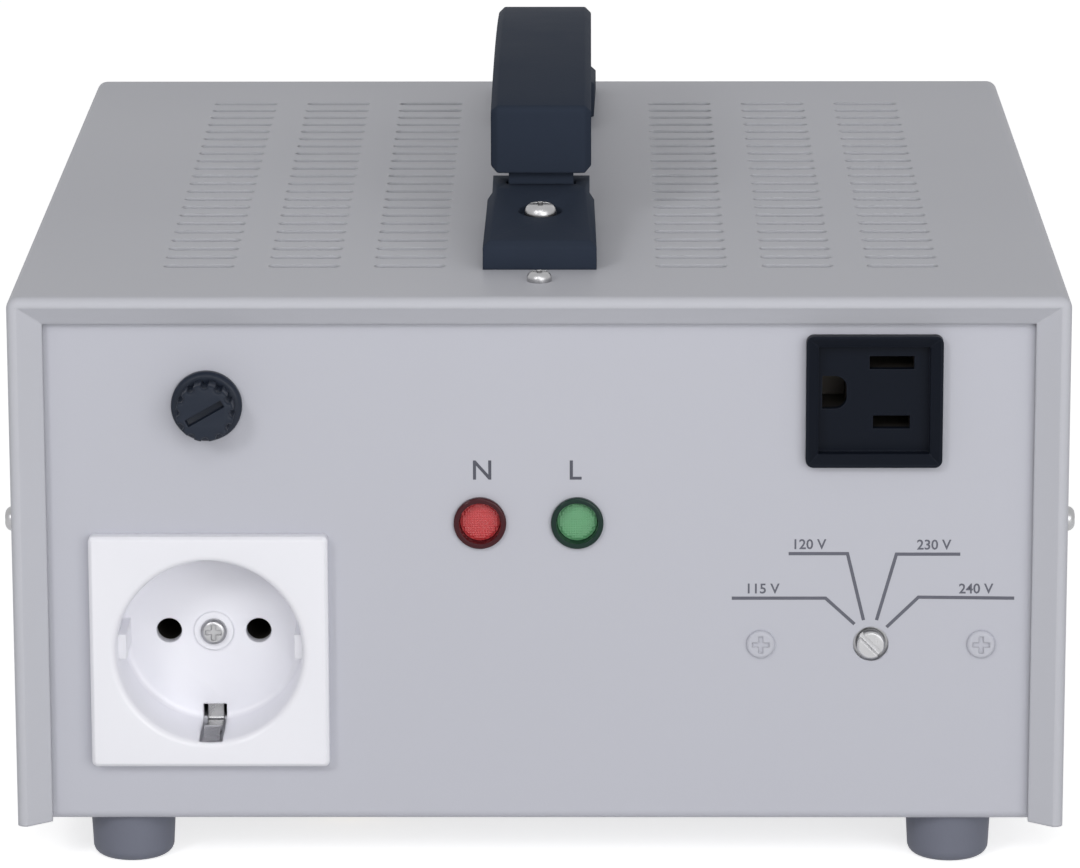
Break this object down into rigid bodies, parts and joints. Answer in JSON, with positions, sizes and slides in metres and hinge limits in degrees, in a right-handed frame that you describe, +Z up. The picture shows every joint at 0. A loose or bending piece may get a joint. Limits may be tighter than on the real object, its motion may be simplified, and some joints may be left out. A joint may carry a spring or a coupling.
{
  "type": "voltage transformer",
  "caption": "Benchtop mains autotransformer in a folded steel case with carrying handle, rubber feet, cooling slots, earthed round outlet, blade outlet, fuse, pilot lamps and tap selector.",
  "frame": {"origin": "On the floor under the middle of the case, level with the soles of the rubber feet", "axes": "+Z up; the control panel faces -Y; +X is to the right of someone who looks at the panel; the carrying handle runs along Y"},
  "size_m": [0.2242, 0.2496, 0.1554],
  "materials": {
    "case_grey": "satin grey enamel",
    "panel_grey": "satin light grey enamel",
    "zinc_steel": "zinc plated",
    "bright_spring": "bright plated",
    "foot_rubber": "matte",
    "black_plastic": "matte moulded",
    "black_gloss": "half gloss moulded",
    "white_plastic": "half gloss moulded",
    "brown_moulding": "matte moulded",
    "red_lens": "clear tinted",
    "green_lens": "clear tinted",
    "clear_glass": "clear",
    "brass_contact": "plain",
    "dark_contact": "dulled dark",
    "core_steel": "varnished sheet stack",
    "enamel_wire": "varnished winding",
    "tape_amber": "film tape"
  },
  "bodies": {
    "root": {"cover": "case_grey", "chassis": "panel_grey", "cover_side_screws": "zinc_steel", "cover_top_screw": "zinc_steel", "rubber_feet": "foot_rubber", "foot_screws": "zinc_steel", "foot_nuts": "zinc_steel", "handle_end_front": "black_plastic", "handle_end_rear": "black_plastic", "handle_screws": "zinc_steel", "handle_nuts": "zinc_steel", "outlet_front": "white_plastic", "outlet_base": "white_plastic", "outlet_contacts": "dark_contact", "outlet_earth_clip": "bright_spring", "outlet_screw": "zinc_steel", "outlet_fixing_ring": "white_plastic", "blade_housing": "black_gloss", "blade_contacts": "dark_contact", "blade_back_plate": "black_gloss", "fuse_holder": "black_gloss", "fuse_holder_nut": "black_gloss", "fuse_holder_tags": "brass_contact", "lamp_red_lens": "red_lens", "lamp_green_lens": "green_lens", "lamp_clips": "bright_spring", "lamp_sleeves": "black_plastic", "lamp_bulbs": "clear_glass", "selector_plate": "zinc_steel", "selector_screws": "panel_grey", "selector_end": "brown_moulding", "selector_body": "brown_moulding", "selector_contacts": "brass_contact", "core_laminations": "core_steel", "bobbin": "black_plastic", "winding_common": "enamel_wire", "winding_series": "enamel_wire", "winding_tape": "tape_amber", "tap_tags": "brass_contact", "core_foot_angles": "zinc_steel", "core_top_straps": "zinc_steel", "core_bolts": "zinc_steel", "core_nuts": "zinc_steel", "angle_screws": "zinc_steel", "angle_nuts": "zinc_steel", "gland_body": "black_plastic", "gland_dome_nut": "black_plastic", "gland_seal": "foot_rubber", "earth_stud": "brass_contact", "earth_nuts": "brass_contact"},
    "handle_bow": {"handle_grip": "black_plastic", "handle_strap": "black_plastic"},
    "selector_rotor": {"selector_shaft": "bright_spring", "selector_disc": "brown_moulding", "selector_wiper": "brass_contact"},
    "fuse_slider": {"fuse_carrier": "black_gloss", "fuse_link_ends": "bright_spring", "fuse_link_tube": "clear_glass"},
    "fuse_turner": {"fuse_cap": "black_gloss"}
  },
  "joints": [
    {"name": "handle_lift", "type": "slide", "parent": "root", "child": "handle_bow", "axis": [0, 0, 1], "range_m": [0, 0.0036]},
    {"name": "selector_turn", "type": "hinge", "parent": "root", "child": "selector_rotor", "pos_m": [0.06945, -0.1167, 0.0492], "axis": [0, 1, 0], "range_deg": [0, 90]},
    {"name": "fuse_draw", "type": "slide", "parent": "root", "child": "fuse_slider", "axis": [0, -1, 0], "range_m": [0, 0.03]},
    {"name": "fuse_turn", "type": "hinge", "parent": "fuse_slider", "child": "fuse_turner", "pos_m": [-0.0691, -0.1167, 0.1008], "axis": [0, -1, 0], "range_deg": [0, 60]}
  ]
}
